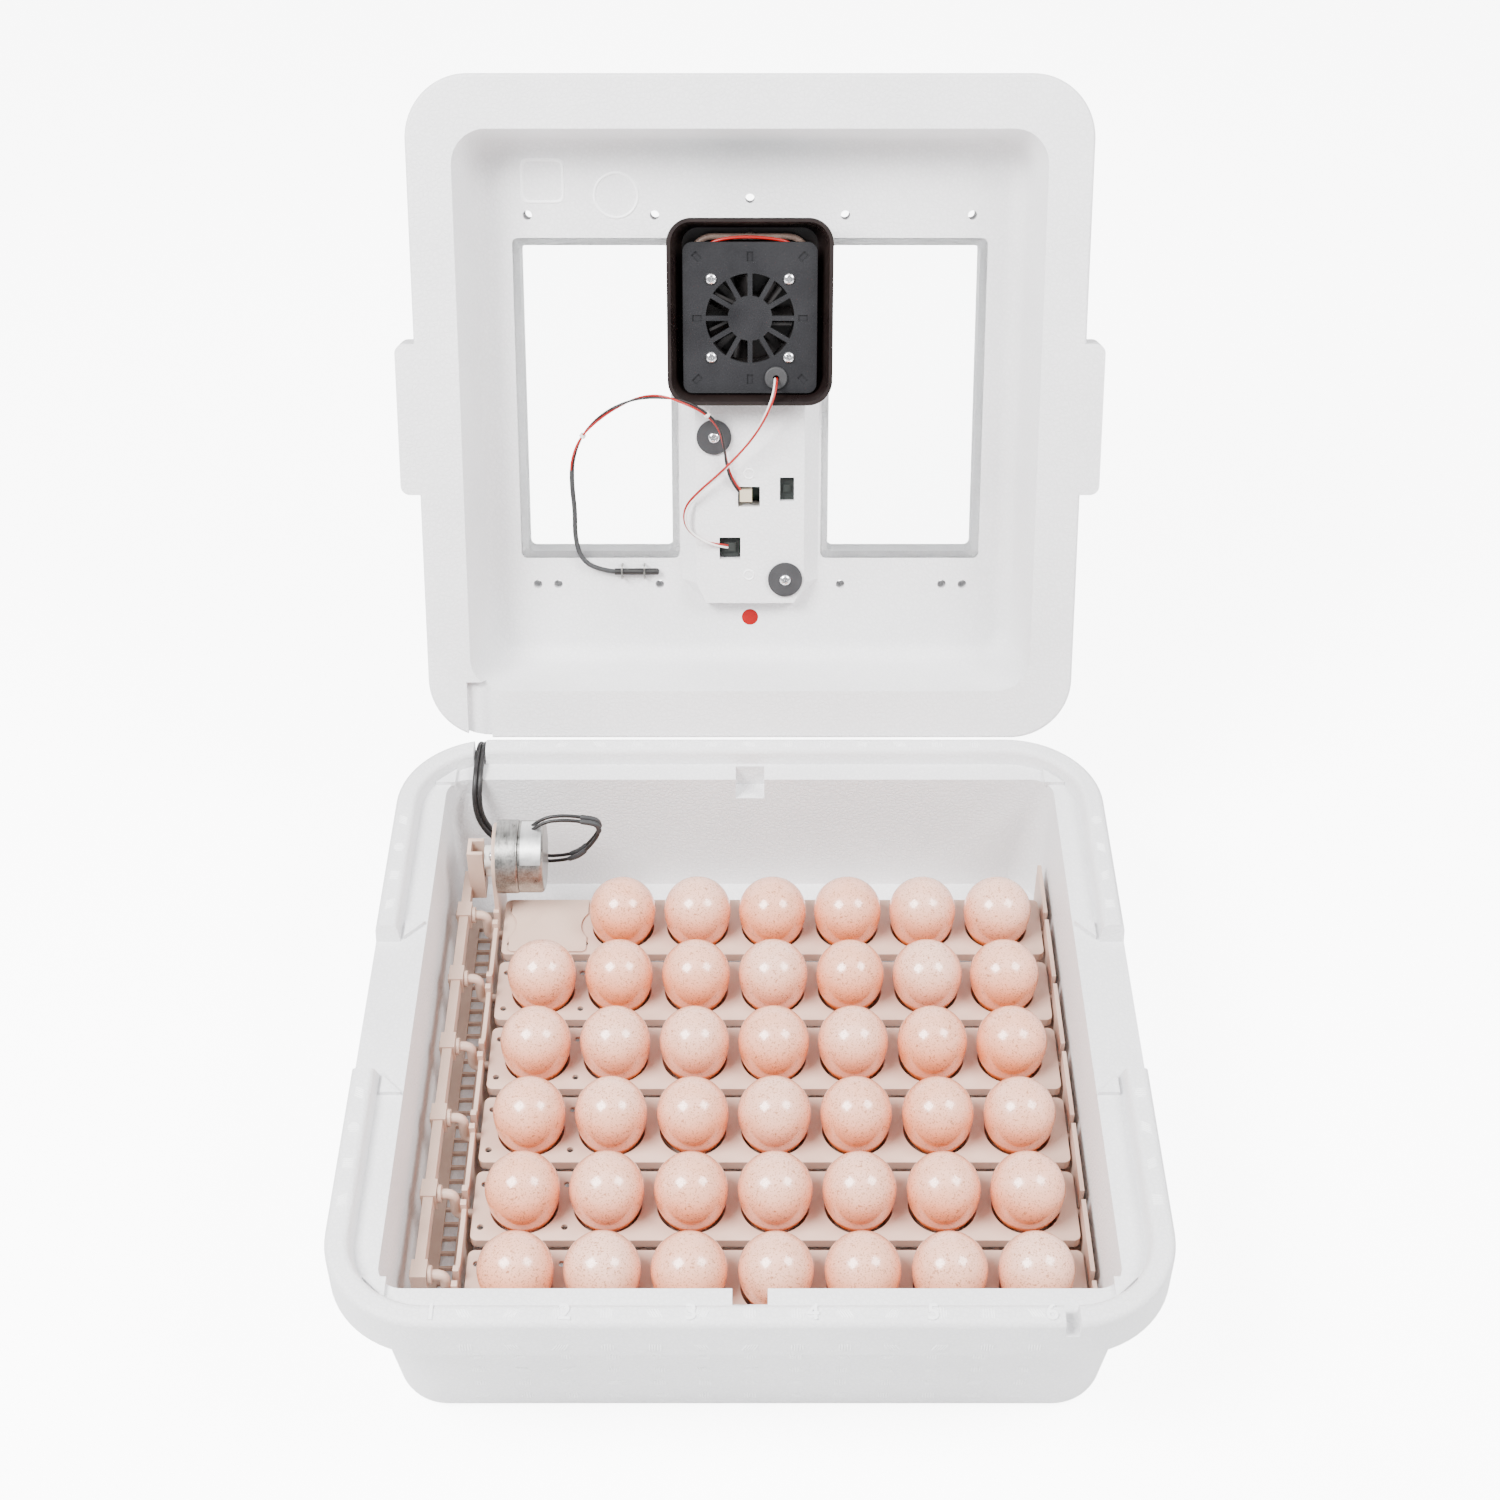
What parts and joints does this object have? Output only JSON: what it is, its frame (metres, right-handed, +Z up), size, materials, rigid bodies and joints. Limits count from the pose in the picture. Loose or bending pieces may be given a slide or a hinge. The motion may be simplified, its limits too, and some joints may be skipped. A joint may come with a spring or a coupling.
{
  "type": "egg incubator",
  "caption": "Foam egg incubator with tilting egg trays driven by a small motor, and a windowed lid that carries heater, fan and controls.",
  "frame": {"origin": "centre of the underside of the foam tub", "axes": "+X to the right, +Y to the rear where the lid leans open, +Z up"},
  "size_m": [0.46, 0.6912, 0.5158],
  "materials": {
    "foam": "moulded bead foam",
    "beige_plastic": "satin moulded",
    "white_plastic": "satin moulded",
    "zinc_steel": "zinc plated",
    "screw_steel": "bright",
    "cord_black": "soft black",
    "clear_plastic": "clear",
    "red_plastic": "glossy",
    "black_plastic": "satin moulded",
    "dark_plate": "fine texture",
    "heater_wire": "dull",
    "lead_red": "insulated wire",
    "dark_rubber": "soft",
    "box_plastic": "satin moulded",
    "board_green": "solder mask",
    "smoked_window": "smoked",
    "washer_grey": "dull",
    "connector_beige": "moulded",
    "eggshell": "speckled shell",
    "button_grey": "soft touch"
  },
  "bodies": {
    "tub": {"base_shell": "foam", "turner_left_rail": "beige_plastic", "turner_right_rail": "beige_plastic", "turner_cross_bars": "beige_plastic", "motor_gearbox": "zinc_steel", "motor_can": "zinc_steel", "motor_screws": "screw_steel", "turner_cord": "cord_black", "turner_cord_coil": "cord_black", "turner_cord_plug": "cord_black"},
    "tray_1": {"tray_1": "beige_plastic", "eggs_1": "eggshell", "tray_cover": "beige_plastic"},
    "tray_2": {"tray_2": "beige_plastic", "eggs_2": "eggshell"},
    "tray_3": {"tray_3": "beige_plastic", "eggs_3": "eggshell"},
    "tray_4": {"tray_4": "beige_plastic", "eggs_4": "eggshell"},
    "tray_5": {"tray_5": "beige_plastic", "eggs_5": "eggshell"},
    "tray_6": {"tray_6": "beige_plastic", "eggs_6": "eggshell"},
    "drive_bar": {"drive_bar": "beige_plastic"},
    "crank": {"motor_crank": "white_plastic"},
    "lid": {"lid_shell": "foam", "window_left": "clear_plastic", "window_right": "clear_plastic", "heater_housing": "black_plastic", "heater_loop": "heater_wire", "heater_lead": "lead_red", "fan_frame": "black_plastic", "fan_plate": "dark_plate", "fan_screws": "screw_steel", "wire_grommet": "dark_rubber", "control_box_base": "box_plastic", "control_box_cover": "box_plastic", "control_board": "board_green", "display_window": "smoked_window", "power_inlet": "black_plastic", "control_box_washers": "washer_grey", "control_box_screws": "screw_steel", "humidity_sensor": "board_green", "fan_socket": "black_plastic", "sensor_plug": "connector_beige", "sensor_lead": "lead_red", "sensor_probe": "cord_black", "probe_clips": "screw_steel", "fan_lead": "lead_red"},
    "fan_rotor": {"fan_impeller": "black_plastic"},
    "vent_plug": {"vent_plug": "red_plastic"},
    "button_1": {"control_button_1": "button_grey"},
    "button_2": {"control_button_2": "button_grey"},
    "button_3": {"control_button_3": "button_grey"}
  },
  "joints": [
    {"name": "row_1_tilt", "type": "hinge", "parent": "tub", "child": "tray_1", "pos_m": [0.0145, 0.1182, 0.052], "axis": [1, 0, 0], "range_deg": [-39.9, 39.9]},
    {"name": "row_2_tilt", "type": "hinge", "parent": "tub", "child": "tray_2", "pos_m": [0.0145, 0.0625, 0.052], "axis": [1, 0, 0], "range_deg": [-39.9, 39.9]},
    {"name": "row_3_tilt", "type": "hinge", "parent": "tub", "child": "tray_3", "pos_m": [0.0145, 0.0068, 0.052], "axis": [1, 0, 0], "range_deg": [-39.9, 39.9]},
    {"name": "row_4_tilt", "type": "hinge", "parent": "tub", "child": "tray_4", "pos_m": [0.0145, -0.0489, 0.052], "axis": [1, 0, 0], "range_deg": [-39.9, 39.9]},
    {"name": "row_5_tilt", "type": "hinge", "parent": "tub", "child": "tray_5", "pos_m": [0.0145, -0.1046, 0.052], "axis": [1, 0, 0], "range_deg": [-39.9, 39.9]},
    {"name": "row_6_tilt", "type": "hinge", "parent": "tub", "child": "tray_6", "pos_m": [0.0145, -0.1603, 0.052], "axis": [1, 0, 0], "range_deg": [-39.9, 39.9]},
    {"name": "bar_pivot", "type": "hinge", "parent": "tray_1", "child": "drive_bar", "pos_m": [-0.1848, 0.1182, 0.071], "axis": [1, 0, 0], "range_deg": [-40, 40]},
    {"name": "crank_turn", "type": "hinge", "parent": "tub", "child": "crank", "pos_m": [-0.17, 0.146, 0.097], "axis": [1, 0, 0], "range_deg": [-90, 90]},
    {"name": "lid_tilt", "type": "hinge", "parent": "tub", "child": "lid", "pos_m": [0, 0.22354, 0.11759], "axis": [1, 0, 0], "range_deg": [0, 114]},
    {"name": "fan_spin", "type": "hinge", "parent": "lid", "child": "fan_rotor", "pos_m": [0, 0.37274, 0.36318], "axis": [0, -0.9135, 0.4067], "continuous": true},
    {"name": "vent_pull", "type": "slide", "parent": "lid", "child": "vent_plug", "axis": [0, 0.9135, -0.4067], "range_m": [0, 0.025]},
    {"name": "button_1_press", "type": "slide", "parent": "lid", "child": "button_1", "axis": [0, -0.9135, 0.4067], "range_m": [0, 0.0015], "stiffness_N_per_m": 400, "springref_m": -0.001},
    {"name": "button_2_press", "type": "slide", "parent": "lid", "child": "button_2", "axis": [0, -0.9135, 0.4067], "range_m": [0, 0.0015], "stiffness_N_per_m": 400, "springref_m": -0.001},
    {"name": "button_3_press", "type": "slide", "parent": "lid", "child": "button_3", "axis": [0, -0.9135, 0.4067], "range_m": [0, 0.0015], "stiffness_N_per_m": 400, "springref_m": -0.001}
  ],
  "couplings": [
    {"joint": "row_2_tilt", "follows": "row_1_tilt", "ratio": 1},
    {"joint": "row_3_tilt", "follows": "row_1_tilt", "ratio": 1},
    {"joint": "row_4_tilt", "follows": "row_1_tilt", "ratio": 1},
    {"joint": "row_5_tilt", "follows": "row_1_tilt", "ratio": 1},
    {"joint": "row_6_tilt", "follows": "row_1_tilt", "ratio": 1},
    {"joint": "bar_pivot", "follows": "row_1_tilt", "ratio": -1},
    {"joint": "crank_turn", "follows": "row_1_tilt", "ratio": -2.25}
  ]
}
